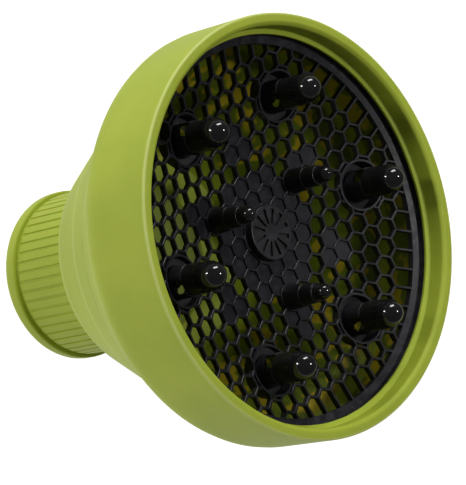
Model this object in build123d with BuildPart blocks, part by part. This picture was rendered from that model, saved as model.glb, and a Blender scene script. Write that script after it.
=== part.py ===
from build123d import *
import os
from math import cos, degrees, pi, radians, sin, sqrt

os.makedirs("parts", exist_ok=True)

# Dryer diffuser: a folding silicone bowl that carries a dished honeycomb grille
# with blunt fingers. Z runs along the axis, from the neck (Z = 0) to the fingers.
# All sizes in mm.

# Silicone bowl
rim_radius = 80.0
overall_height = 137.6
rim_band_length = 31.2
rim_corner_radius = 11.0
corner_run = 7.6
corner_rise = 8.8
lip_land = 3.4
lip_wall = 4.7
lip_round = 1.0
band_wall = 2.8
cone_wall = 2.3
cone_top_extra = 0.4
cone_top_drop = 1.0
flute_depth = 0.9

# Folding wall between the lower ridge and the shoulder
fold_run = 11.4
fold_rise = 22.1
fold_wall = 1.4
fold_gap = 0.3
seam_overlap = 0.6
seam_rise = 1.2

# Neck that stretches over the dryer nozzle
neck_height = 48.7
shoulder_overhang = 12.4
neck_radius = 33.0
bead_rise = 1.3
bead_length = 6.4
bead_foot_round = 3.6
bead_back_round = 1.6
neck_groove_depth = 0.8
neck_groove_length = 1.6
neck_wall = 3.0
nozzle_space = 8.0
nozzle_grip_length = 16.0
neck_lip_wall = 2.6
neck_rib_count = 52
rib_groove_width = 0.9
rib_groove_depth = 0.5
shoulder_wall = 2.4
shoulder_edge = 1.6
shoulder_lift = 0.5
shoulder_fall = 0.6
shoulder_land = 3.2
sleeve_top_fall = 0.4

# Retaining ledge and seat of the grille
ledge_depth = 7.2
ledge_drop = 0.8
ledge_width = 1.8
ledge_tip_thickness = 1.0
ledge_taper = 0.6
ledge_taper_run = 0.9
seat_width = 3.0

# Grille: a dished honeycomb inside a plain ring
ring_width = 3.5
ring_inset = 5.9
dish_edge_depth = 12.4
dish_centre_depth = 22.0
grille_thickness = 2.4
hex_pitch = 7.53
hex_rib = 1.05
pocket_depth = 0.8
pocket_floor = 1.6
pocket_overlap = 0.02
closed_rings = 3
seat_margin = 0.6
smallest_hole = 2.5

# Outer fingers
finger_count = 6
rows_outside_fingers = 2
finger_radius = 5.9
finger_tip_radius = 5.7
finger_dome = 8.0
finger_reach = 4.8
finger_stem_radius = 1.3
collar_radius = 6.3
collar_wall = 0.9
collar_height = 5.4
well_radius = 9.2
well_wall = 0.9
well_depth = 4.8
well_floor = 1.2
notch_count = 3
notch_angle = 128
notch_width = 5.6
notch_sill = 0.6
hub_radius = 2.2
spoke_width = 1.2
stem_rise = 0.4

# Inner fingers
inner_finger_count = 3
inner_row = 2
inner_finger_radius = 3.4
inner_tip_radius = 3.2
inner_dome = 4.2
inner_finger_depth = 0.8
inner_stem_radius = 1.9
inner_base_radius = 4.9
inner_base_taper = 0.5
inner_step_radius = 4.0
inner_step_taper = 0.2
inner_base_height = 7.6
inner_step_height = 6.2
inner_seat = 1.0
inner_stem_rise = 0.6

# Centre boss
boss_radius = 10.5
boss_height = 3.4
boss_seat = 0.5
boss_rim = 1.4
boss_hub_radius = 2.6
boss_stem_radius = 3.0
boss_slot_count = 12
boss_slot_width = 1.9
boss_slot_depth = 1.0
boss_slot_root = 0.7
boss_slot_margin = 0.8
boss_stem_rise = 0.8

edge_round = 0.4
dome_fullness = 0.552
fit_gap = 0.05

# Derived sizes
row_height = sqrt(3) / 2
front_z = overall_height
band_end_z = front_z - rim_band_length
nozzle_radius = neck_radius - nozzle_space
shoulder = (neck_radius + shoulder_overhang, neck_height)
lower_ridge = (shoulder[0] + fold_run, shoulder[1] + fold_rise)
upper_ridge = (rim_radius - corner_run, band_end_z - corner_rise)
fold_length = sqrt(fold_run**2 + fold_rise**2)
cone_in = (-fold_rise / fold_length, fold_run / fold_length)
bowl_end_radius = lower_ridge[0] - cone_wall + seam_overlap
fold_end_radius = bowl_end_radius - fold_gap
band_inner_radius = rim_radius - band_wall
lip_wall_radius = rim_radius - lip_wall
ledge_tip_radius = lip_wall_radius - ledge_width
ledge_tip_z = front_z - ledge_depth - ledge_drop
ledge_under_z = ledge_tip_z - ledge_tip_thickness - ledge_taper
grille_outer_radius = band_inner_radius - fit_gap
grille_ring_radius = rim_radius - ring_inset
grille_open_radius = grille_ring_radius - ring_width
dish_sag = dish_centre_depth - dish_edge_depth
dish_radius = (grille_open_radius**2 + dish_sag**2) / (2 * dish_sag)
dish_bottom_z = front_z - dish_centre_depth
dish_edge_z = front_z - dish_edge_depth
grille_back_z = dish_edge_z - grille_thickness
full_rows = int((grille_open_radius / hex_pitch - 0.6) / row_height) - 1
finger_circle = (full_rows - rows_outside_fingers) * hex_pitch
inner_circle = inner_row * sqrt(3) * hex_pitch


def dish_z(radius):
    """Height of the front of the dish at a radius."""
    return dish_bottom_z + dish_radius - sqrt(dish_radius**2 - radius**2)


def on_fold(radius):
    """Point of the outer side of the folding wall at a radius."""
    return (radius, shoulder[1] + (radius - shoulder[0]) * fold_rise / fold_run)


def shift(point, amount):
    """Point moved square to the folding wall, towards the axis."""
    return (point[0] + cone_in[0] * amount, point[1] + cone_in[1] * amount)


def fluted(start, end):
    """Middle of a shallow hollow between two ridges."""
    return (
        (start[0] + end[0]) / 2 + cone_in[0] * flute_depth,
        (start[1] + end[1]) / 2 + cone_in[1] * flute_depth,
    )


def cell_centre(column, row):
    """Centre of a honeycomb cell."""
    return (hex_pitch * (column + row / 2), hex_pitch * row * row_height)


def cell_ring(column, row):
    """Number of cells between a cell and the centre."""
    return max(abs(column), abs(row), abs(column + row))


def turned(column, row):
    """The same cell a third of a turn further round."""
    return (-column - row, column)


# Cells: plain ones are open, a three-lobed group round the centre is closed
lobe_cells = [(2, 3), (3, 2), (3, 3), (2, 2), (-2, 5), (-3, 5), (-3, 6)]
cells = []
for column in range(-full_rows, full_rows + 1):
    for row in range(-full_rows, full_rows + 1):
        if cell_ring(column, row) <= full_rows:
            cells.append((column, row))
closed_cells = [cell for cell in cells if cell_ring(*cell) <= closed_rings]
for cell in lobe_cells:
    for _ in range(3):
        closed_cells.append(cell)
        cell = turned(*cell)
cell_radius = (hex_pitch - hex_rib) / 2


def ring_sites(radius, first_angle, count):
    """Places spaced evenly round the axis."""
    turns = [radians(first_angle + 360 * number / count) for number in range(count)]
    return [Location((radius * cos(turn), radius * sin(turn), 0), (0, 0, degrees(turn))) for turn in turns]


def dome_points(radius, height, top):
    """Control points of a finger's rounded end, from its side to its tip."""
    side = (radius, top - height)
    shoulder_point = (radius, top - height + dome_fullness * height)
    return side, shoulder_point, (dome_fullness * radius, top), (0, top)


def save(piece, name):
    """Name a piece and write it out."""
    piece.label = name
    export_step(piece, "parts/" + name + ".step")


finger_sites = ring_sites(finger_circle, 0, finger_count)
inner_sites = ring_sites(inner_circle, 30, inner_finger_count)

# Bowl of thick silicone: lip, retaining ledge, seat, straight band and upper cone
with BuildPart() as rim_bowl:
    with BuildSketch(Plane.XZ) as bowl_profile:
        with BuildLine():
            lip_top = (rim_radius, front_z)
            band_end = (rim_radius, band_end_z)
            seam_in = (bowl_end_radius, shift(lower_ridge, cone_wall)[1] + seam_rise)
            cone_top_in = (band_inner_radius, band_end_z - cone_top_drop)
            cone_mid_in = shift(upper_ridge, cone_wall + cone_top_extra)
            seat_low = (band_inner_radius, grille_back_z - seat_width)
            seat_in = (band_inner_radius - seat_width, grille_back_z)
            seat_out = (band_inner_radius, grille_back_z)
            under_out = (band_inner_radius, ledge_under_z)
            under_in = (ledge_tip_radius + ledge_taper_run, ledge_under_z)
            tip_low = (ledge_tip_radius, ledge_tip_z - ledge_tip_thickness)
            tip_high = (ledge_tip_radius, ledge_tip_z)
            ledge_out = (lip_wall_radius, front_z - ledge_depth)
            lip_in = (lip_wall_radius, front_z - lip_round)
            lip_face = (rim_radius - lip_land, front_z)
            Polyline(lip_top, band_end, upper_ridge)
            ThreePointArc(upper_ridge, fluted(upper_ridge, lower_ridge), lower_ridge)
            Polyline(
                lower_ridge, on_fold(bowl_end_radius), seam_in, cone_mid_in, cone_top_in, seat_low,
                seat_in, seat_out, under_out, under_in, tip_low, tip_high, ledge_out, lip_in,
                lip_face, lip_top,
            )
        make_face()
        corners = bowl_profile.vertices()
        fillet(corners.sort_by_distance(band_end)[0], rim_corner_radius)
    revolve(axis=Axis.Z)
save(rim_bowl.part, "rim_bowl")

# Thin conical wall that turns inside out when the bowl is pushed down
with BuildPart() as fold_membrane:
    with BuildSketch(Plane.XZ):
        with BuildLine():
            fold_top = on_fold(fold_end_radius)
            Polyline(shoulder, fold_top, shift(fold_top, fold_wall), shift(shoulder, fold_wall), shoulder)
        make_face()
    revolve(axis=Axis.Z)
save(fold_membrane.part, "fold_membrane")

# Neck: stretch collar for the nozzle, end bead, ribbed sleeve and shoulder
sleeve_start = bead_length + neck_groove_length
sleeve_end = shoulder[1] - shoulder_wall - shoulder_fall
sleeve_radius = neck_radius - neck_wall
grip_outer_radius = nozzle_radius + neck_lip_wall
with BuildPart() as neck_sleeve:
    with BuildSketch(Plane.XZ) as neck_profile:
        with BuildLine():
            bead_low = (neck_radius + bead_rise, 0.0)
            bead_high = (neck_radius + bead_rise, bead_length)
            groove_low = (neck_radius - neck_groove_depth, bead_length)
            groove_high = (neck_radius - neck_groove_depth, sleeve_start)
            sleeve_low = (neck_radius, sleeve_start)
            sleeve_high = (neck_radius, sleeve_end)
            shoulder_out = (shoulder[0] - shoulder_edge, sleeve_end + shoulder_lift)
            shoulder_in = shift(shoulder, fold_wall)
            shoulder_top = (shoulder[0] - shoulder_land, shoulder[1])
            sleeve_top = (sleeve_radius, shoulder[1] - sleeve_top_fall)
            foot_in = (nozzle_radius, 0.0)
            Polyline(
                foot_in, bead_low, bead_high, groove_low, groove_high, sleeve_low, sleeve_high,
                shoulder_out, shoulder, shoulder_in, shoulder_top, sleeve_top, (sleeve_radius, neck_wall),
                (grip_outer_radius, neck_wall), (grip_outer_radius, nozzle_grip_length),
                (nozzle_radius, nozzle_grip_length), foot_in,
            )
        make_face()
        fillet(neck_profile.vertices().sort_by_distance(bead_low)[0], bead_foot_round)
        fillet(neck_profile.vertices().sort_by_distance(bead_high)[0], bead_back_round)
    revolve(axis=Axis.Z)
    rib_length = sleeve_end - sleeve_start
    with Locations((0, 0, sleeve_start + rib_length / 2)):
        with PolarLocations(neck_radius, neck_rib_count):
            Box(2 * rib_groove_depth, rib_groove_width, rib_length, mode=Mode.SUBTRACT)
save(neck_sleeve.part, "neck_sleeve")

# Floors of the closed cells, a thin dish under the lobes of the grille
arc_radius = grille_open_radius / sqrt(2)
back_arc = (arc_radius, dish_z(arc_radius))
with BuildPart() as pocket_floors:
    with BuildSketch(Plane.XY.offset(dish_bottom_z - grille_thickness)):
        with Locations([cell_centre(*cell) for cell in closed_cells]):
            RegularPolygon(hex_pitch / 2 + pocket_overlap, 6, major_radius=False, rotation=30)
    extrude(amount=front_z - dish_bottom_z)
    with BuildSketch(Plane.XZ):
        with BuildLine():
            floor_edge = (grille_open_radius, dish_edge_z - pocket_depth)
            floor_mid = (back_arc[0], back_arc[1] - pocket_depth)
            floor_centre = (0, dish_bottom_z - pocket_depth)
            under_edge = (grille_open_radius, floor_edge[1] - pocket_floor)
            under_mid = (floor_mid[0], floor_mid[1] - pocket_floor)
            under_centre = (0, floor_centre[1] - pocket_floor)
            ThreePointArc(floor_centre, floor_mid, floor_edge)
            Line(floor_edge, under_edge)
            ThreePointArc(under_edge, under_mid, under_centre)
            Line(under_centre, floor_centre)
        make_face()
    revolve(axis=Axis.Z, mode=Mode.INTERSECT)

# Grille: dished honeycomb plate with its plain ring, finger wells and seats
well_floor_z = dish_z(finger_circle) - well_depth
cell_corner = cell_radius / cos(pi / 6)
slot_row = (full_rows + 1) * row_height * hex_pitch
well_outer = well_radius + well_wall
slot_places = [number - (full_rows + 1) / 2 for number in range(1, full_rows + 1)]
with BuildSketch(Plane.XY.offset(well_floor_z - grille_thickness)) as holes:
    with Locations([cell_centre(*cell) for cell in cells]):
        RegularPolygon(cell_radius, 6, major_radius=False, rotation=30)
    with PolarLocations(0, 6, start_angle=30):
        with Locations([(slot_row, hex_pitch * place) for place in slot_places]):
            Polygon(
                (-cell_corner, 0), (-cell_corner / 2, -cell_radius), (2 * hex_pitch, -cell_radius),
                (2 * hex_pitch, cell_radius), (-cell_corner / 2, cell_radius), align=None,
            )
    Circle(grille_open_radius, mode=Mode.INTERSECT)
    with Locations(finger_sites):
        Circle(well_outer, mode=Mode.SUBTRACT)
    with Locations(inner_sites):
        Circle(inner_base_radius + seat_margin, mode=Mode.SUBTRACT)
    Circle(boss_radius + seat_margin, mode=Mode.SUBTRACT)
hole_faces = [face for face in holes.sketch.faces() if face.area > smallest_hole]

with BuildPart() as grille_plate:
    with BuildSketch(Plane.XZ):
        with BuildLine():
            ring_in = (grille_ring_radius, dish_z(grille_ring_radius))
            ring_top = ledge_under_z - fit_gap
            back_edge = (grille_open_radius, grille_back_z)
            ThreePointArc((0, dish_bottom_z), back_arc, ring_in)
            Polyline(
                ring_in, (grille_ring_radius, ring_top), (grille_outer_radius, ring_top),
                (grille_outer_radius, grille_back_z), back_edge,
            )
            back_mid = (back_arc[0], back_arc[1] - grille_thickness)
            back_centre = (0, dish_bottom_z - grille_thickness)
            ThreePointArc(back_edge, back_mid, back_centre)
            Line(back_centre, (0, dish_bottom_z))
        make_face()
    revolve(axis=Axis.Z)
    extrude(hole_faces, amount=front_z - well_floor_z, mode=Mode.SUBTRACT)
    with BuildSketch(Plane.XY.offset(well_floor_z)):
        with Locations(finger_sites):
            Circle(well_outer)
    extrude(amount=dish_z(finger_circle + well_outer) - well_floor_z)
    with BuildSketch(Plane.XZ):
        with BuildLine():
            Polyline(ring_in, (grille_ring_radius, front_z), (0, front_z), (0, dish_bottom_z))
            ThreePointArc((0, dish_bottom_z), back_arc, ring_in)
        make_face()
    revolve(axis=Axis.Z, mode=Mode.SUBTRACT)
    with BuildSketch(Plane.XY.offset(well_floor_z)):
        with Locations(finger_sites):
            Circle(well_radius)
    extrude(amount=front_z - well_floor_z, mode=Mode.SUBTRACT)
    add(pocket_floors.part)
    inner_seat_z = dish_z(inner_circle) - inner_seat
    with BuildSketch(Plane.XY.offset(inner_seat_z)):
        with Locations(inner_sites):
            Circle(inner_base_radius + fit_gap)
    extrude(amount=hex_pitch, mode=Mode.SUBTRACT)
    boss_seat_z = dish_bottom_z - boss_seat
    with BuildSketch(Plane.XY.offset(boss_seat_z)):
        Circle(boss_radius + fit_gap)
    extrude(amount=hex_pitch, mode=Mode.SUBTRACT)
    with BuildSketch(Plane.XY.offset(boss_seat_z - grille_thickness)):
        with Locations(inner_sites):
            Circle(inner_stem_radius + fit_gap)
        Circle(boss_stem_radius + fit_gap)
    extrude(amount=2 * grille_thickness, mode=Mode.SUBTRACT)
save(grille_plate.part, "grille_plate")

# Outer fingers: a socket closes each well and holds a hollow collar with three notches
collar_top = dish_z(finger_circle) + collar_height
collar_inner_radius = collar_radius - collar_wall
notch_floor_z = dish_z(finger_circle) + notch_sill
socket_radius = well_radius - fit_gap
with BuildPart() as finger_socket:
    with BuildSketch(Plane.XY.offset(well_floor_z)):
        Circle(socket_radius)
        Circle(collar_inner_radius, mode=Mode.SUBTRACT)
        Circle(hub_radius)
        with PolarLocations(0, notch_count, start_angle=notch_angle + 180 / notch_count):
            Rectangle(collar_radius, spoke_width, align=(Align.MIN, Align.CENTER))
    extrude(amount=well_floor)
    with BuildSketch(Plane.XY.offset(well_floor_z)):
        Circle(collar_radius)
        Circle(collar_inner_radius, mode=Mode.SUBTRACT)
    extrude(amount=collar_top - well_floor_z)
    with BuildSketch(Plane.XY.offset(notch_floor_z)):
        with PolarLocations(0, notch_count, start_angle=notch_angle):
            Rectangle(2 * collar_radius, notch_width, align=(Align.MIN, Align.CENTER))
    extrude(amount=collar_height, mode=Mode.SUBTRACT)
    with BuildSketch(Plane.XY.offset(well_floor_z)):
        Circle(finger_stem_radius + fit_gap)
    extrude(amount=well_floor, mode=Mode.SUBTRACT)

finger_top = front_z + finger_reach
with BuildPart() as finger:
    with BuildSketch(Plane.XZ):
        with BuildLine():
            stem_end = well_floor_z + stem_rise
            dome_base = (finger_tip_radius, finger_top - finger_dome)
            Polyline(
                (0, stem_end), (finger_stem_radius, stem_end),
                (finger_stem_radius, collar_top), (finger_radius, collar_top), dome_base,
            )
            Bezier(*dome_points(finger_tip_radius, finger_dome, finger_top))
            Line((0, finger_top), (0, stem_end))
        make_face()
    revolve(axis=Axis.Z)

for number, site in enumerate(finger_sites, 1):
    save(finger_socket.part.moved(site), f"finger_socket_{number}")
    save(finger.part.moved(site), f"finger_{number}")

# Inner fingers: a two-step base stands on a flat seat of the plate
base_top = inner_seat_z + inner_base_height + inner_seat
step_top = base_top + inner_step_height
with BuildPart() as inner_socket:
    with BuildSketch(Plane.XZ):
        with BuildLine():
            Polyline(
                (inner_stem_radius + fit_gap, inner_seat_z), (inner_base_radius, inner_seat_z),
                (inner_base_radius - inner_base_taper, base_top), (inner_step_radius, base_top),
                (inner_step_radius - inner_step_taper, step_top), (inner_stem_radius + fit_gap, step_top),
                (inner_stem_radius + fit_gap, inner_seat_z),
            )
        make_face()
    revolve(axis=Axis.Z)

inner_top = front_z - inner_finger_depth
with BuildPart() as inner_finger:
    with BuildSketch(Plane.XZ):
        with BuildLine():
            stem_foot = inner_seat_z - grille_thickness + inner_stem_rise
            inner_dome_base = (inner_tip_radius, inner_top - inner_dome)
            Polyline(
                (0, stem_foot), (inner_stem_radius, stem_foot), (inner_stem_radius, step_top),
                (inner_finger_radius, step_top), inner_dome_base,
            )
            Bezier(*dome_points(inner_tip_radius, inner_dome, inner_top))
            Line((0, inner_top), (0, stem_foot))
        make_face()
    revolve(axis=Axis.Z)

for number, site in enumerate(inner_sites, 1):
    save(inner_socket.part.moved(site), f"inner_socket_{number}")
    save(inner_finger.part.moved(site), f"inner_finger_{number}")

# Centre boss: a plain disc with a rim, a hub and even radial slots
boss_top = dish_bottom_z + boss_height
slot_in = boss_hub_radius + boss_slot_margin
slot_out = boss_radius - boss_rim
with BuildPart() as centre_boss:
    with BuildSketch(Plane.XY.offset(boss_seat_z)):
        Circle(boss_radius)
    extrude(amount=boss_top - boss_seat_z)
    fillet(centre_boss.faces().sort_by(Axis.Z)[-1].edges(), edge_round)
    with BuildSketch(Plane.XY.offset(boss_top - boss_slot_depth)):
        with PolarLocations(0, boss_slot_count):
            Polygon(
                (slot_in, -boss_slot_root / 2), (slot_out, -boss_slot_width / 2),
                (slot_out, boss_slot_width / 2), (slot_in, boss_slot_root / 2), align=None,
            )
    extrude(amount=boss_slot_depth, mode=Mode.SUBTRACT)
    with BuildSketch(Plane.XY.offset(boss_seat_z - grille_thickness + boss_stem_rise)):
        Circle(boss_stem_radius)
    extrude(amount=grille_thickness - boss_stem_rise)
save(centre_boss.part, "centre_boss")
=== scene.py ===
"""Dryer diffuser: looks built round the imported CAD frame, in metres."""

from math import cos, pi, radians, sin, sqrt, tan

import bmesh
import bpy
import numpy as np
from mathutils import Matrix, Vector


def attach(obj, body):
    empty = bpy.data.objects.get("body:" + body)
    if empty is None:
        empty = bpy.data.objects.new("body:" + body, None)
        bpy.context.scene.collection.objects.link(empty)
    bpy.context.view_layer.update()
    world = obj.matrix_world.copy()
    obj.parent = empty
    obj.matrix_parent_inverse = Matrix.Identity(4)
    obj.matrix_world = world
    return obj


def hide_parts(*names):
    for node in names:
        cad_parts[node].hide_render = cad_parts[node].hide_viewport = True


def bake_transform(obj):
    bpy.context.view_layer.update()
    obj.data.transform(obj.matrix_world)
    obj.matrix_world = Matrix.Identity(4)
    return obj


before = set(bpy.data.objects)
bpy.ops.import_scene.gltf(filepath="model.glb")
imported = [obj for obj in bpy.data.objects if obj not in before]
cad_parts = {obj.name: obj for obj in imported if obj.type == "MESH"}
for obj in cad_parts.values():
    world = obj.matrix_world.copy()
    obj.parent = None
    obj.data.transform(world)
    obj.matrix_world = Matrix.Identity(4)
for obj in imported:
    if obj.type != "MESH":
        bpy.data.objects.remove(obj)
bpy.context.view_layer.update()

MM = 0.001

# Sizes of the silicone shell, in mm, as (radius, height, rounding)
neck_side = [
    (34.3, 0.0, 3.6),
    (34.3, 6.4, 1.6),
    (32.2, 6.4, 0.4),
    (32.2, 8.0, 0.3),
    (33.0, 8.0, 0.35),
    (33.0, 45.7, 1.2),
    (43.8, 46.2, 2.2),
    (45.4, 48.7, 1.3),
]
lower_ridge = (56.8, 70.8, 1.3)
flute_middle = (63.8, 84.613, 26.0)
upper_ridge = (72.4, 97.6, 1.0)
rim_side = [
    (80.0, 106.4, 11.0),
    (80.0, 137.6, 0.8),
    (76.6, 137.6, 1.4),
    (75.3, 136.6, 1.4),
    (75.3, 130.4, 0.4),
    (73.5, 129.6, 0.35),
    (73.5, 128.6, 0.3),
    (74.4, 128.0, 0.3),
    (77.2, 128.0, 0.2),
    (77.2, 122.8, 0.2),
    (74.2, 122.8, 0.3),
    (77.2, 119.8, 0.5),
    (77.2, 105.4, 9.0),
]
inside = [
    (70.0, 98.84, 2.0),
    (54.756, 71.856, 2.0),
    (44.16, 49.34, 0.5),
    (42.2, 48.7, 0.6),
    (30.0, 48.3, 1.0),
    (30.0, 3.0, 0.5),
    (27.6, 3.0, 0.3),
    (27.6, 16.0, 0.6),
    (25.0, 16.0, 0.6),
    (25.0, 0.0, 1.0),
]

# Neck ribs, in mm
neck_radius = 33.0
rib_count = 52
rib_groove_width = 0.9
rib_groove_depth = 0.5
rib_low = 8.0
rib_high = 45.7

# Heights and radii of the silicone that more than one piece or finish follows, in metres
neck_top = 48.7 * MM
fold_top = lower_ridge[1] * MM
lip_radius = 80.0 * MM
lip_top = 137.6 * MM
lining_top = 121.0 * MM

# Grille, in mm
dish_bottom = 115.6
dish_radius = 264.4
plate_thickness = 2.4
seat_overlap = 0.05
well_floor = 116.11
socket_floor_top = 117.31
stem_foot = 116.51
collar_top = 126.3
finger_top = 142.4
finger_dome = 8.0
inner_top = 136.8
inner_dome = 4.2
finger_circle = 52.71
inner_circle = 26.085
finger_count = 6
inner_count = 3
inner_first_angle = radians(30)


class Value:
    """A number in a node tree that is written in sums like any other number."""

    def __init__(self, tree, socket):
        self.tree = tree
        self.socket = socket

    def step(self, operation, *others):
        values = dict(enumerate((self, *others)))
        node = self.tree.add("ShaderNodeMath", {"operation": operation}, values)
        return self.tree.out(node)

    def back(self, operation, other):
        node = self.tree.add("ShaderNodeMath", {"operation": operation}, {0: other, 1: self})
        return self.tree.out(node)

    def __add__(self, other):
        return self.step("ADD", other)

    def __radd__(self, other):
        return self.back("ADD", other)

    def __sub__(self, other):
        return self.step("SUBTRACT", other)

    def __rsub__(self, other):
        return self.back("SUBTRACT", other)

    def __mul__(self, other):
        return self.step("MULTIPLY", other)

    def __rmul__(self, other):
        return self.back("MULTIPLY", other)

    def __truediv__(self, other):
        return self.step("DIVIDE", other)

    def __rtruediv__(self, other):
        return self.back("DIVIDE", other)

    def __pow__(self, other):
        return self.step("POWER", other)

    def __neg__(self):
        return self.step("MULTIPLY", -1.0)

    def __abs__(self):
        return self.step("ABSOLUTE")

    def whole(self):
        return self.step("FLOOR")

    def cosine(self):
        return self.step("COSINE")

    def sine(self):
        return self.step("SINE")

    def below(self, other):
        return self.step("LESS_THAN", other)

    def above(self, other):
        return self.step("GREATER_THAN", other)

    def lowest(self, other):
        return self.step("MINIMUM", other)

    def highest(self, other):
        return self.step("MAXIMUM", other)

    def ramp(self, low, high):
        """0 at low, 1 at high, smooth between them."""
        node = self.tree.add(
            "ShaderNodeMapRange",
            {"interpolation_type": "SMOOTHSTEP"},
            {"Value": self, "From Min": low, "From Max": high},
        )
        return self.tree.out(node, "Result")

    def near(self, middle, width):
        """1 at middle, fading to 0 at width from it."""
        return 1.0 - abs(self - middle).ramp(0.0, width)


class Tree:
    """Adds nodes to a node tree and links them."""

    def __init__(self, nodes):
        self.nodes = nodes

    def add(self, kind, settings=None, values=None):
        node = self.nodes.nodes.new(kind)
        for name, setting in (settings or {}).items():
            setattr(node, name, setting)
        for name, value in (values or {}).items():
            self.put(node.inputs[name], value)
        return node

    def put(self, socket, value):
        if isinstance(value, list):
            for one in value:
                self.put(socket, one)
            return
        if isinstance(value, Value):
            value = value.socket
        if isinstance(value, bpy.types.NodeSocket):
            self.nodes.links.new(value, socket)
        else:
            socket.default_value = value

    def out(self, node, name=0):
        return Value(self, node.outputs[name])


class Finish(Tree):
    """A material made of node sums over the object's own coordinates."""

    def __init__(self, name):
        self.material = bpy.data.materials.new(name)
        self.material.use_nodes = True
        super().__init__(self.material.node_tree)
        self.nodes.nodes.clear()
        place = self.add("ShaderNodeTexCoord")
        self.place = place.outputs["Object"]
        split = self.add("ShaderNodeSeparateXYZ", None, {"Vector": self.place})
        self.x, self.y, self.z = (self.out(split, axis) for axis in "XYZ")
        self.radius = (self.x * self.x + self.y * self.y) ** 0.5

    def noise(self, scale, detail=3.0, rough=0.55):
        values = {"Vector": self.place, "Scale": scale, "Detail": detail, "Roughness": rough}
        return self.out(self.add("ShaderNodeTexNoise", None, values), "Fac")

    def blend(self, amount, first, second):
        node = self.add("ShaderNodeMix", {"data_type": "RGBA"}, {0: amount, 6: first, 7: second})
        return node.outputs[2]

    def bump(self, height, depth, strength=1.0, normal=None):
        values = {"Height": height, "Distance": depth, "Strength": strength}
        if normal:
            values["Normal"] = normal
        return self.add("ShaderNodeBump", None, values).outputs["Normal"]

    def close(self, settings):
        shader = self.add("ShaderNodeBsdfPrincipled", None, settings)
        self.add("ShaderNodeOutputMaterial", None, {"Surface": shader.outputs[0]})
        return self.material


def colour(red, green, blue):
    return (red, green, blue, 1.0)


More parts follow.
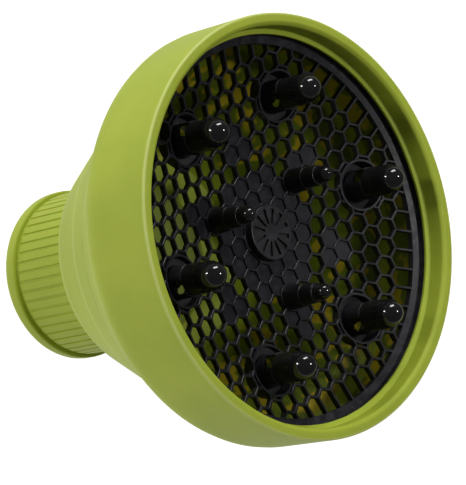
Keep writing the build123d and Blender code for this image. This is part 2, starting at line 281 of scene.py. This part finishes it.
class Rule(Tree):
    """A Geometry Nodes tree with named inputs that makes one piece."""

    kinds = {float: "NodeSocketFloat", int: "NodeSocketInt", bpy.types.Object: "NodeSocketObject"}

    def __init__(self, name, given):
        super().__init__(bpy.data.node_groups.new(name, "GeometryNodeTree"))
        self.given = given
        self.names = {}
        face = self.nodes.interface
        face.new_socket("Geometry", in_out="INPUT", socket_type="NodeSocketGeometry")
        for label, value in given.items():
            kind = self.kinds.get(type(value), "NodeSocketObject")
            self.names[label] = face.new_socket(label, in_out="INPUT", socket_type=kind).identifier
        self.names["Finish"] = face.new_socket(
            "Finish", in_out="INPUT", socket_type="NodeSocketMaterial"
        ).identifier
        face.new_socket("Geometry", in_out="OUTPUT", socket_type="NodeSocketGeometry")
        self.start = self.nodes.nodes.new("NodeGroupInput")
        place = self.add("GeometryNodeInputPosition")
        split = self.add("ShaderNodeSeparateXYZ", None, {"Vector": place.outputs[0]})
        self.x, self.y, self.z = (self.out(split, axis) for axis in "XYZ")
        self.radius = (self.x * self.x + self.y * self.y) ** 0.5

    def take(self, name):
        return self.out(self.start, name)

    def shape(self, name):
        """The mesh of an object input."""
        node = self.add("GeometryNodeObjectInfo", None, {"Object": self.take(name)})
        return node.outputs["Geometry"]

    def vector(self, x=0.0, y=0.0, z=0.0):
        return self.add("ShaderNodeCombineXYZ", None, {"X": x, "Y": y, "Z": z}).outputs[0]

    def move(self, geometry, offset=None, position=None):
        values = {"Geometry": geometry}
        if offset:
            values["Offset"] = offset
        if position:
            values["Position"] = position
        return self.add("GeometryNodeSetPosition", None, values).outputs[0]

    def shifted(self, geometry, z=0.0, x=0.0, turn=0.0, stretch=(1.0, 1.0, 1.0)):
        values = {
            "Geometry": geometry,
            "Translation": self.vector(x, 0.0, z),
            "Rotation": self.vector(0.0, 0.0, turn),
            "Scale": stretch,
        }
        return self.add("GeometryNodeTransform", None, values).outputs[0]

    def prism(self, sides, radius, depth, z):
        """A closed prism round Z, from z upwards."""
        values = {"Vertices": sides, "Radius": radius, "Depth": depth}
        solid = self.add("GeometryNodeMeshCylinder", {"fill_type": "NGON"}, values).outputs["Mesh"]
        return self.shifted(solid, z + depth / 2)

    def flare(self, sides, low, high, depth, z):
        """A closed tapered prism round Z, from z upwards."""
        values = {"Vertices": sides, "Radius Bottom": low, "Radius Top": high, "Depth": depth}
        solid = self.add("GeometryNodeMeshCone", {"fill_type": "NGON"}, values).outputs["Mesh"]
        return self.shifted(solid, z)

    def repeat(self, points, piece, turn=0.0, where=None):
        """A copy of a piece on every point."""
        values = {"Points": points, "Instance": piece, "Rotation": self.vector(0.0, 0.0, turn)}
        if where:
            values["Selection"] = where
        copies = self.add("GeometryNodeInstanceOnPoints", None, values).outputs[0]
        return self.add("GeometryNodeRealizeInstances", None, {"Geometry": copies}).outputs[0]

    def round_places(self, count, radius, first_turn=0.0):
        """Points spaced evenly round Z."""
        ring = self.add("GeometryNodeMeshCircle", None, {"Vertices": count, "Radius": radius})
        return self.shifted(ring.outputs[0], turn=first_turn)

    def cut(self, body, tools):
        settings = {"operation": "DIFFERENCE", "solver": "MANIFOLD"}
        return self.add("GeometryNodeMeshBoolean", settings, {"Mesh 1": body, "Mesh 2": tools}).outputs[0]

    def join(self, *pieces):
        return self.add("GeometryNodeJoinGeometry", None, {"Geometry": list(reversed(pieces))}).outputs[0]

    def close(self, geometry):
        geometry = self.add("GeometryNodeRealizeInstances", None, {"Geometry": geometry}).outputs[0]
        values = {"Geometry": geometry, "Material": self.take("Finish")}
        geometry = self.add("GeometryNodeSetMaterial", None, values).outputs[0]
        self.add("NodeGroupOutput", None, {"Geometry": geometry})

    def make(self, body, finish):
        """Runs the tree on an object and leaves it a plain mesh."""
        modifier = body.modifiers.new(self.nodes.name, "NODES")
        modifier.node_group = self.nodes
        for label, value in {**self.given, "Finish": finish}.items():
            modifier[self.names[label]] = value
        graph = bpy.context.evaluated_depsgraph_get()
        mesh = bpy.data.meshes.new_from_object(body.evaluated_get(graph), depsgraph=graph)
        body.modifiers.clear()
        body.data = mesh
        mesh.materials.clear()
        mesh.materials.append(finish)
        return body


def silicone_finish():
    """Matte lime silicone with a powdery skin; its ridges paler from stress whitening and a painted
    highlight, a painted highlight on the lip's outer corner, and painted shade with painted light spots
    inside the bowl.
    """
    look = Finish("lime silicone")
    fine = look.noise(2600.0, 2.0)
    cloud = look.noise(38.0, 3.0)
    speck = look.noise(900.0, 2.0, 0.6).ramp(0.62, 0.74)
    # Ridges and shoulder edge: pale stress whitening of the silicone, partly a painted highlight
    ridge_whitening_and_highlight = look.z.near(fold_top, 0.0022) + look.z.near(upper_ridge[1] * MM, 0.0018)
    ridge_whitening_and_highlight = ridge_whitening_and_highlight + look.z.near(neck_top, 0.0030)
    ridge_whitening_and_highlight = (ridge_whitening_and_highlight * look.radius.ramp(0.0440, 0.0460)).lowest(1.0)
    base = look.blend(cloud.ramp(0.3, 0.7), colour(0.405, 0.495, 0.034), colour(0.450, 0.540, 0.042))
    base = look.blend(ridge_whitening_and_highlight * 0.55, base, colour(0.56, 0.64, 0.15))
    # Outer corner of the lip: a painted highlight line
    edge = look.z.ramp(lip_top - 0.0012, lip_top - 0.0004)
    edge = edge * look.radius.ramp(lip_radius - 0.0012, lip_radius - 0.0004)
    base = look.blend(edge * 0.7, base, colour(0.68, 0.76, 0.24))
    # Inside the bowl: painted shade with painted light spots, standing in for light through the grille's
    # cells
    slope = (upper_ridge[0] - lower_ridge[0]) / (upper_ridge[1] - lower_ridge[1])
    outer_radius = (lower_ridge[0] * MM + (look.z - fold_top) * slope).lowest(lip_radius)
    inner = (outer_radius - look.radius).ramp(0.0008, 0.0016)
    inner = inner * (1.0 - look.z.ramp(lining_top - 0.0010, lining_top))
    inner = inner * look.z.ramp(neck_top, neck_top + 0.0008)
    # Mask of the painted light spots
    glow = look.noise(105.0, 1.0).ramp(0.50, 0.58)
    painted_shade_and_light_spots = look.blend(glow, colour(0.15, 0.21, 0.010), colour(0.55, 0.43, 0.015))
    base = look.blend(inner, base, painted_shade_and_light_spots)
    base = look.blend(speck * 0.25, base, colour(0.58, 0.64, 0.22))
    rough = 0.50 + fine * 0.08 + cloud * 0.06
    skin = look.bump(fine, 0.00003, 0.5)
    skin = look.bump(cloud, 0.0004, 0.12, skin)
    return look.close(
        {
            "Base Color": base,
            "Roughness": rough,
            "Normal": skin,
            "Subsurface Weight": 0.08,
            "Subsurface Scale": 0.002,
            "Specular IOR Level": 0.42,
        }
    )


def grille_finish():
    """Charcoal moulded plastic, mottled where its ring shows."""
    look = Finish("charcoal plastic")
    fine = look.noise(1900.0, 3.0)
    mottle = look.noise(260.0, 4.0, 0.65).ramp(0.40, 0.68)
    ring = look.radius.ramp(0.0700, 0.0712)
    base = look.blend(mottle * (0.35 + ring * 0.65), colour(0.006, 0.006, 0.009), colour(0.026, 0.025, 0.034))
    rough = 0.36 + fine * 0.10 + mottle * 0.14
    skin = look.bump(fine, 0.00004, 0.35)
    skin = look.bump(mottle, 0.00010, 0.25, skin)
    return look.close({"Base Color": base, "Roughness": rough, "Normal": skin, "Specular IOR Level": 0.35})


def finger_finish():
    """Polished black tips that turn satin towards the foot."""
    look = Finish("gloss black")
    fine = look.noise(2200.0, 2.0)
    smear = look.noise(120.0, 4.0, 0.6)
    foot = 1.0 - look.z.ramp(0.1300, 0.1365)
    base = look.blend(fine, colour(0.006, 0.006, 0.007), colour(0.012, 0.012, 0.013))
    rough = 0.05 + smear * 0.05 + foot * 0.24
    skin = look.bump(fine, 0.00002, foot * 0.3 + 0.04)
    return look.close({"Base Color": base, "Roughness": rough, "Normal": skin, "Specular IOR Level": 0.55})


def satin_finish():
    """Satin black of the small sockets, bases and the centre boss."""
    look = Finish("satin black")
    fine = look.noise(1700.0, 3.0)
    wear = look.noise(150.0, 4.0, 0.6)
    base = look.blend(wear.ramp(0.35, 0.7), colour(0.008, 0.008, 0.010), colour(0.022, 0.022, 0.026))
    rough = 0.30 + wear * 0.16 + fine * 0.05
    return look.close({"Base Color": base, "Roughness": rough, "Normal": look.bump(fine, 0.00004, 0.3)})


def rounded(corners, closed=True):
    """A chain of corners, each with its own rounding, as points of a smooth profile."""
    points = []
    count = len(corners)
    for number, (radius, height, rounding) in enumerate(corners):
        here = Vector((radius, height))
        if not closed and number in (0, count - 1):
            points.append(here)
            continue
        before = Vector(corners[number - 1][:2]) - here
        after = Vector(corners[(number + 1) % count][:2]) - here
        half = before.angle(after) / 2
        cut = min(rounding / max(tan(half), 0.01), 0.49 * before.length, 0.49 * after.length)
        start = here + before.normalized() * cut
        end = here + after.normalized() * cut
        turn = pi - 2 * half
        steps = max(2, min(7, int(turn / radians(16)) + 1))
        for step in range(steps + 1):
            share = step / steps
            first = start.lerp(here, share)
            points.append(first.lerp(here.lerp(end, share), share))
    return points


def divided(points, longest, closed=True):
    """The same profile with its long runs cut into shorter ones."""
    result = []
    last = len(points) if closed else len(points) - 1
    for number in range(last):
        start = points[number]
        end = points[(number + 1) % len(points)]
        pieces = max(1, int((end - start).length / longest + 0.999))
        result += [start.lerp(end, piece / pieces) for piece in range(pieces)]
    if not closed:
        result.append(points[-1])
    return result


def lathe(name, points, angles, closed=True):
    """A body of revolution about Z from a profile in mm."""
    rings = len(points)
    turns = len(angles)
    profile = np.array([(p[0], p[1]) for p in points]) * MM
    radius = profile[:, 0][:, None]
    turn = np.array(angles)[None, :]
    height = np.repeat(profile[:, 1][:, None], turns, axis=1)
    vertices = np.stack([radius * np.cos(turn), radius * np.sin(turn), height], axis=-1).reshape(-1, 3)
    faces = []
    for ring in range(rings if closed else rings - 1):
        low = ring * turns
        high = (ring + 1) % rings * turns
        for step in range(turns):
            following = (step + 1) % turns
            faces.append((low + step, low + following, high + following, high + step))
    mesh = bpy.data.meshes.new(name)
    mesh.from_pydata(vertices.tolist(), [], faces)
    mesh.update()
    body = bpy.data.objects.new(name, mesh)
    bpy.context.scene.collection.objects.link(body)
    return body


def face_out(mesh):
    """Turns the faces of a closed mesh outwards."""
    mesh.calc_loop_triangles()
    corners = np.empty(len(mesh.loop_triangles) * 3, np.int32)
    mesh.loop_triangles.foreach_get("vertices", corners)
    place = np.empty(len(mesh.vertices) * 3)
    mesh.vertices.foreach_get("co", place)
    a, b, c = place.reshape(-1, 3)[corners].reshape(-1, 3, 3).transpose(1, 0, 2)
    if np.einsum("ij,ij->i", a, np.cross(b, c)).sum() < 0:
        mesh.flip_normals()


def smooth(body, angle):
    """Smooth faces, with edges sharper than an angle kept crisp."""
    mesh = body.data
    mesh.polygons.foreach_set("use_smooth", [True] * len(mesh.polygons))
    mesh.set_sharp_from_angle(angle=radians(angle))


def ribbed(rule):
    """Presses even grooves into the outside of the neck."""
    angle = rule.y.step("ARCTAN2", rule.x)
    share = angle * rule.take("Rib count") / (2 * pi)
    from_groove = abs(share - (share + 0.5).whole())
    pitch = rule.radius * (2 * pi) / rule.take("Rib count")
    half = rule.take("Groove width") / 2
    pressed = 1.0 - (from_groove * pitch).ramp(half * 0.85, half * 1.18)
    low = rule.take("Low end")
    high = rule.take("High end")
    side = rule.take("Neck radius")
    along = rule.z.above(low - 0.00002) * (1.0 - rule.z.ramp(high - 0.0008, high))
    outside = rule.radius.above(side - 0.0006) * rule.radius.below(side + 0.0006)
    press = pressed * along * outside * rule.take("Groove depth") / rule.radius
    inwards = rule.vector(rule.x * press * -1.0, rule.y * press * -1.0, 0.0)
    rule.close(rule.move(rule.take("Geometry"), offset=inwards))


def honeycomb(rule):
    """Dished plate with hexagonal cells, outer slots, finger wells and seats."""
    pitch = rule.take("Cell pitch")
    thickness = rule.take("Thickness")
    rows = rule.take("Rows")
    flat = (pitch - rule.take("Rib width")) / 2
    corner = flat / cos(pi / 6)
    bevel = rule.take("Edge bevel")

    # Cells of a hexagon of rows, as points
    span = rows * 2 + 1
    grid = rule.add("GeometryNodeMeshGrid", None, {"Vertices X": span, "Vertices Y": span}).outputs[0]
    index = rule.out(rule.add("GeometryNodeInputIndex"))
    column = (index / span + 0.0001).whole()
    row = index - column * span - rows
    column = column - rows
    sites = rule.move(grid, position=rule.vector(pitch * (column + row / 2), pitch * row * (sqrt(3) / 2)))
    across = rule.x / pitch
    aside = rule.y / pitch
    row = aside / (sqrt(3) / 2)
    column = across - row / 2
    ring = abs(column).highest(abs(row)).highest(abs(column + row))
    values = {"Geometry": sites, "Selection": ring.above(rows + 0.5)}
    sites = rule.add("GeometryNodeDeleteGeometry", {"domain": "POINT"}, values).outputs[0]

    # Closed cells: the middle rings and three-cell lobes between the outer fingers
    sixth = pi / 3
    angle = (aside.step("ARCTAN2", across) + 2 * pi) / sixth
    bend = (angle - angle.whole() - 0.5) * sixth
    away = (across * across + aside * aside) ** 0.5
    lobe_x = away * bend.cosine() - rule.take("Lobe distance")
    lobe_y = away * bend.sine()
    in_lobe = ((lobe_x * lobe_x + lobe_y * lobe_y) ** 0.5).below(rule.take("Lobe radius"))
    closed = in_lobe.highest(ring.below(rule.take("Closed rows") + 0.5))

    # Cutters
    over = thickness * 3
    hexagon = rule.prism(6, corner, over, -2.0 * thickness)
    mouth = rule.flare(6, corner, (flat + bevel * 2) / cos(pi / 6), bevel * 2, -bevel)
    front = rule.prism(6, corner, over, -rule.take("Pocket depth"))
    through = rule.repeat(sites, hexagon, radians(30), 1.0 - closed)
    mouths = rule.repeat(sites, mouth, radians(30))
    pockets = rule.repeat(sites, front, radians(30), closed)

    # Slots beyond the last row run out to the ring, parallel within each sixth
    line = rule.add("GeometryNodeMeshLine", None, {"Count": rows * 6}).outputs[0]
    number = (index / rows + 0.0001).whole()
    side = index - number * rows - (rows - 1) / 2
    heading = number * sixth + radians(30)
    out = (rows + 1) * (sqrt(3) / 2) * pitch
    side = side * pitch
    place = rule.vector(
        out * heading.cosine() - side * heading.sine(), out * heading.sine() + side * heading.cosine()
    )
    ends = rule.move(line, position=place)
    # Every copy reads its heading from the number of the point that it stands on
    heads = rule.repeat(ends, rule.prism(6, corner, over, -2.0 * thickness), heading)
    length = pitch * 2 + corner / 2
    square = rule.prism(4, flat * sqrt(2), over, -2.0 * thickness)
    square = rule.shifted(square, turn=radians(45))
    middle = (pitch * 2 - corner / 2) / 2
    stretch = rule.vector(length / (flat * 2), 1.0, 1.0)
    box = rule.shifted(square, x=middle, stretch=stretch)
    runs = rule.repeat(ends, box, heading)
    head_mouths = rule.repeat(ends, mouth, heading)
    slope = rule.flare(4, flat * sqrt(2), (flat + bevel * 2) * sqrt(2), bevel * 2, -bevel)
    slope = rule.shifted(slope, turn=radians(45))
    slope = rule.shifted(slope, x=middle, stretch=stretch)
    run_mouths = rule.repeat(ends, slope, heading)

    # Plate, cut flat
    plate = rule.prism(256, rule.take("Plate radius"), thickness, -thickness)
    fingers = rule.round_places(finger_count, rule.take("Finger circle"))
    inner_fingers = rule.round_places(inner_count, rule.take("Inner circle"), inner_first_angle)
    inside_wall = 0.0004
    well = rule.prism(64, rule.take("Well radius") + inside_wall, over, -2.0 * thickness)
    wells = rule.repeat(fingers, well)
    plate = rule.cut(plate, [through, pockets])
    plate = rule.cut(plate, [mouths, heads, wells])
    plate = rule.cut(plate, [runs, head_mouths])
    plate = rule.cut(plate, [run_mouths])

    # Seats, then everything takes the dish
    pads = rule.repeat(inner_fingers, rule.shape("Seat"))
    bent = rule.join(plate, pads, rule.shape("Boss seat"))
    dish = rule.take("Dish radius")
    rise = rule.take("Dish bottom") + dish - (dish * dish - rule.radius * rule.radius) ** 0.5
    bent = rule.move(bent, offset=rule.vector(0.0, 0.0, rise))
    walls = rule.repeat(fingers, rule.shape("Well wall"))
    floor_height = rule.take("Well floor")
    walls = rule.move(
        walls, position=rule.vector(rule.x, rule.y, floor_height + rule.z * (rise - floor_height))
    )
    rule.close(rule.join(bent, walls, rule.shape("Ring")))


def disc(name, radius, low, high, angles):
    """A flat disc with a rounded upper edge, in mm."""
    points = rounded([(0.0, low, 0), (radius, low, 0.1), (radius, high, 0.3), (0.0, high, 0)], closed=False)
    body = lathe(name, points, angles, closed=False)
    weld(body)
    return body


def weld(body):
    """Joins the corners that meet on the axis."""
    mesh = bmesh.new()
    mesh.from_mesh(body.data)
    bmesh.ops.remove_doubles(mesh, verts=mesh.verts, dist=0.000001)
    bmesh.ops.recalc_face_normals(mesh, faces=mesh.faces)
    mesh.to_mesh(body.data)
    mesh.free()


def dome(radius, height, top):
    """Rounded end of a finger, from its side to its tip."""
    angles = [radians(90 * step / 20) for step in range(21)]
    return [Vector((radius * cos(angle), top - height + height * sin(angle))) for angle in angles]


def spun(name, corners, end=()):
    """A body of revolution that starts on the axis, from corners in mm."""
    points = divided(rounded(corners, closed=False) + list(end), 2.0, closed=False)
    body = lathe(name, points, coarse_angles, closed=False)
    weld(body)
    return body


def copied(rule):
    """Even copies of a piece round the axis, each turned to face out."""
    index = rule.out(rule.add("GeometryNodeInputIndex"))
    count = rule.take("Count")
    first = rule.take("First angle")
    heading = index * (2 * pi) / count
    places = rule.round_places(count, rule.take("Circle"), first)
    rule.close(rule.repeat(places, rule.shape("Piece"), heading))


def socketed(rule):
    """A collar with notches, a hub and spokes, copied round the axis."""
    notches = rule.take("Notches")
    line = rule.add("GeometryNodeMeshLine", None, {"Count": notches}).outputs[0]
    line = rule.move(line, position=rule.vector())
    index = rule.out(rule.add("GeometryNodeInputIndex"))
    heading = index * (2 * pi) / notches + rule.take("Notch angle")
    width = rule.take("Notch width")
    reach = 0.009
    height = 0.008
    notch = rule.add("GeometryNodeMeshCube", None, {"Size": rule.vector(reach, width, height)}).outputs[0]
    notch = rule.shifted(notch, rule.take("Notch sill") + height / 2, reach / 2)
    collar = rule.cut(rule.shape("Collar"), [rule.repeat(line, notch, heading)])
    floor_height = rule.take("Floor")
    thick = 0.0012
    hub = rule.prism(32, rule.take("Hub radius"), thick, floor_height)
    spoke_size = (0.0056, 0.0012, 0.0011)
    spoke_middle = 0.0030
    spoke = rule.add("GeometryNodeMeshCube", None, {"Size": spoke_size}).outputs[0]
    spoke = rule.shifted(spoke, floor_height + thick / 2, spoke_middle)
    spokes = rule.repeat(line, spoke, heading + pi / notches)
    whole = rule.join(collar, hub, spokes)
    count = rule.take("Count")
    places = rule.round_places(count, rule.take("Circle"))
    rule.close(rule.repeat(places, whole, index * (2 * pi) / count))


def numbered(name, count):
    """Names of a row of equal CAD nodes."""
    return [f"{name}_{number}" for number in range(1, count + 1)]


def made(name, rule_name, given, recipe, finish, crisp, nodes):
    """A new piece from a node tree, riding on the bowl."""
    body = bpy.data.objects.new(name, bpy.data.meshes.new(name))
    bpy.context.scene.collection.objects.link(body)
    rule = Rule(rule_name, given)
    recipe(rule)
    rule.make(body, finish)
    smooth(body, crisp)
    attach(body, "bowl")
    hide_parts(*nodes)


silicone = silicone_finish()
charcoal = grille_finish()
gloss = finger_finish()
satin = satin_finish()

# Silicone shell
rib_steps = [-0.95, -0.66, 0.66, 0.95, 2.2, 3.46, 4.7]
rib_angles = [radians(360 * rib / rib_count + step) for rib in range(rib_count) for step in rib_steps]
shell_profile = divided(
    rounded(neck_side + [lower_ridge, flute_middle, upper_ridge] + rim_side + inside), 4.2
)
shell = lathe("silicone_shell", shell_profile, rib_angles)
face_out(shell.data)
ribs = Rule(
    "neck ribs",
    {
        "Rib count": rib_count,
        "Groove width": rib_groove_width * MM,
        "Groove depth": rib_groove_depth * MM,
        "Low end": rib_low * MM,
        "High end": rib_high * MM,
        "Neck radius": neck_radius * MM,
    },
)
ribbed(ribs)
ribs.make(shell, silicone)
smooth(shell, 50)
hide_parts("rim_bowl", "fold_membrane", "neck_sleeve")
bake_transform(shell)

# Grille: its ring in mm, as (radius, height, rounding), then the bodies that its tree places
coarse_angles = [radians(360 * step / 72) for step in range(72)]
fine_angles = [radians(360 * step / 256) for step in range(256)]
ring_shape = [
    (70.6, 125.28, 0.25),
    (74.1, 126.28, 0.1),
    (74.1, 127.95, 0.2),
    (77.15, 127.95, 0.2),
    (77.15, 122.8, 0.2),
    (70.6, 122.8, 0.2),
]
wall_points = [Vector(corner) for corner in ((9.25, 0.02), (9.25, 1.02), (10.1, 1.02), (10.1, 0.02))]
ring_body = lathe("ring", rounded(ring_shape), fine_angles)
face_out(ring_body.data)
seat_low = -plate_thickness - seat_overlap
seat_body = disc("seat", 5.5, seat_low, 0.07, coarse_angles)
boss_seat_body = disc("boss seat", 11.1, seat_low, 0.07, coarse_angles)
wall_body = lathe("well wall", wall_points, coarse_angles)
# The wall's height is a share, 0 at the well's floor and 1 at the dish
for vertex in wall_body.data.vertices:
    vertex.co.z = vertex.co.z / MM
face_out(wall_body.data)
grille = bpy.data.objects.new("honeycomb_grille", bpy.data.meshes.new("honeycomb_grille"))
bpy.context.scene.collection.objects.link(grille)
comb = Rule(
    "honeycomb grille",
    {
        "Cell pitch": 7.53 * MM,
        "Rib width": 1.05 * MM,
        "Thickness": plate_thickness * MM,
        "Rows": 9,
        "Closed rows": 3,
        "Lobe distance": 4.62,
        "Lobe radius": 0.75,
        "Edge bevel": 0.2 * MM,
        "Pocket depth": 0.8 * MM,
        "Plate radius": 71.5 * MM,
        "Finger circle": finger_circle * MM,
        "Inner circle": inner_circle * MM,
        "Well radius": 9.2 * MM,
        "Well floor": well_floor * MM,
        "Dish bottom": dish_bottom * MM,
        "Dish radius": dish_radius * MM,
        "Seat": seat_body,
        "Boss seat": boss_seat_body,
        "Well wall": wall_body,
        "Ring": ring_body,
    },
)
honeycomb(comb)
comb.make(grille, charcoal)
for spare in (ring_body, seat_body, boss_seat_body, wall_body):
    bpy.data.objects.remove(spare)
smooth(grille, 28)
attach(grille, "bowl")
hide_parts("grille_plate")

# Fingers and their sockets, in mm, as (radius, height, rounding)
finger_shape = [
    (0.0, stem_foot, 0),
    (1.3, stem_foot, 0.2),
    (1.3, collar_top, 0.05),
    (5.9, collar_top, 0.35),
    (5.7, finger_top - finger_dome, 0),
]
finger_body = spun("finger", finger_shape, dome(5.7, finger_dome, finger_top)[1:])
inner_shape = [
    (0.0, 115.8, 0),
    (4.9, 115.9, 0.1),
    (4.4, 124.5, 0.45),
    (4.0, 124.5, 0.1),
    (3.8, 130.7, 0.4),
    (3.4, 130.7, 0.1),
    (3.2, inner_top - inner_dome, 0),
]
inner_body = spun("inner finger", inner_shape, dome(3.2, inner_dome, inner_top)[1:])
collar_shape = [
    (9.15, well_floor, 0.1),
    (9.15, socket_floor_top, 0.3),
    (6.3, socket_floor_top, 0.2),
    (6.3, collar_top, 0.3),
    (5.4, collar_top, 0.2),
    (5.4, well_floor, 0.1),
]
collar_body = lathe("collar", rounded(collar_shape), coarse_angles)
face_out(collar_body.data)

made(
    "outer_fingers",
    "outer fingers",
    {"Count": finger_count, "First angle": 0.0, "Circle": finger_circle * MM, "Piece": finger_body},
    copied,
    gloss,
    40,
    numbered("finger", finger_count),
)
made(
    "inner_fingers",
    "inner fingers",
    {
        "Count": inner_count,
        "First angle": inner_first_angle,
        "Circle": inner_circle * MM,
        "Piece": inner_body,
    },
    copied,
    gloss,
    40,
    numbered("inner_finger", inner_count) + numbered("inner_socket", inner_count),
)
made(
    "finger_sockets",
    "finger sockets",
    {
        "Collar": collar_body,
        "Count": finger_count,
        "Circle": finger_circle * MM,
        "Notches": 3,
        "Notch angle": radians(128),
        "Notch width": 5.6 * MM,
        "Notch sill": 121.5 * MM,
        "Floor": well_floor * MM,
        "Hub radius": 2.2 * MM,
    },
    socketed,
    satin,
    35,
    numbered("finger_socket", finger_count),
)
for spare in (finger_body, inner_body, collar_body):
    bpy.data.objects.remove(spare)

# The centre boss is shown as the CAD piece
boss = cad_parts["centre_boss"]
boss.data.materials.clear()
boss.data.materials.append(satin)

# Camera
aim = Vector((-0.0001, -0.0007, 0.0974))
camera_distance = 0.96695
camera_azimuth = radians(168.34)
camera_height = radians(45.75)
camera_roll = radians(-77.89)
back = Vector(
    (cos(camera_height) * cos(camera_azimuth), cos(camera_height) * sin(camera_azimuth), sin(camera_height))
)
level = Vector((0, 0, 1)).cross(back).normalized()
rise = back.cross(level)
up = rise * cos(camera_roll) + level * sin(camera_roll)
right = up.cross(back)
lens = bpy.data.cameras.new("camera")
lens.sensor_width = 36
lens.lens = 188.5
lens.sensor_fit = "AUTO"
camera = bpy.data.objects.new("camera", lens)
turn = Matrix((right, up, back)).transposed().to_4x4()
camera.matrix_world = Matrix.Translation(aim + back * camera_distance) @ turn
bpy.context.scene.collection.objects.link(camera)
bpy.context.scene.camera = camera
bpy.context.scene.view_settings.view_transform = "Standard"


def seen(across, above, towards):
    """A place given as the viewer sees it, in metres from the aim point."""
    return aim + right * across + up * above + back * towards


def lamp(name, place, size, power, high=None):
    """A flat white studio lamp that faces the aim point."""
    light = bpy.data.lights.new(name, "AREA")
    light.energy = power
    light.size = size
    if high:
        light.shape = "RECTANGLE"
        light.size_y = high
    holder = bpy.data.objects.new(name, light)
    holder.location = place
    holder.rotation_euler = (place - aim).to_track_quat("Z", "Y").to_euler()
    bpy.context.scene.collection.objects.link(holder)


lamp("top softbox", seen(0.17, 1.13, 0.38), 0.66, 7.0, high=0.25)
lamp("front key", seen(1.0, 0.28, 0.79), 0.14, 5.0)
lamp("side key", seen(-0.87, 0.34, 0.92), 0.16, 3.0)

world = bpy.data.worlds.new("studio")
bpy.context.scene.world = world
world.use_nodes = True
# Bright below the horizon, as over a white table, and dim above it
sky = Tree(world.node_tree)
heading = sky.add("ShaderNodeTexCoord").outputs["Generated"]
height = sky.out(sky.add("ShaderNodeSeparateXYZ", None, {"Vector": heading}), "Z")
glow = height.ramp(0.10, -0.10) * 0.68 + 0.10
sky.put(world.node_tree.nodes["Background"].inputs["Color"], glow)

# Floor
floor_mesh = bpy.data.meshes.new("floor")
reach = 4.0
floor_mesh.from_pydata(
    [(-reach, -reach, 0), (reach, -reach, 0), (reach, reach, 0), (-reach, reach, 0)], [], [(0, 1, 2, 3)]
)
floor = bpy.data.objects.new("floor", floor_mesh)
floor.location = (0, 0, -0.0005)
bpy.context.scene.collection.objects.link(floor)
paper = Finish("white paper")
paper.close(
    {
        "Base Color": colour(0.30, 0.30, 0.30),
        "Roughness": 0.9,
        "Emission Color": colour(1, 1, 1),
        "Emission Strength": 1.0,
    }
)
floor_mesh.materials.append(paper.material)
floor.visible_glossy = False
floor.visible_diffuse = False
floor.visible_shadow = False
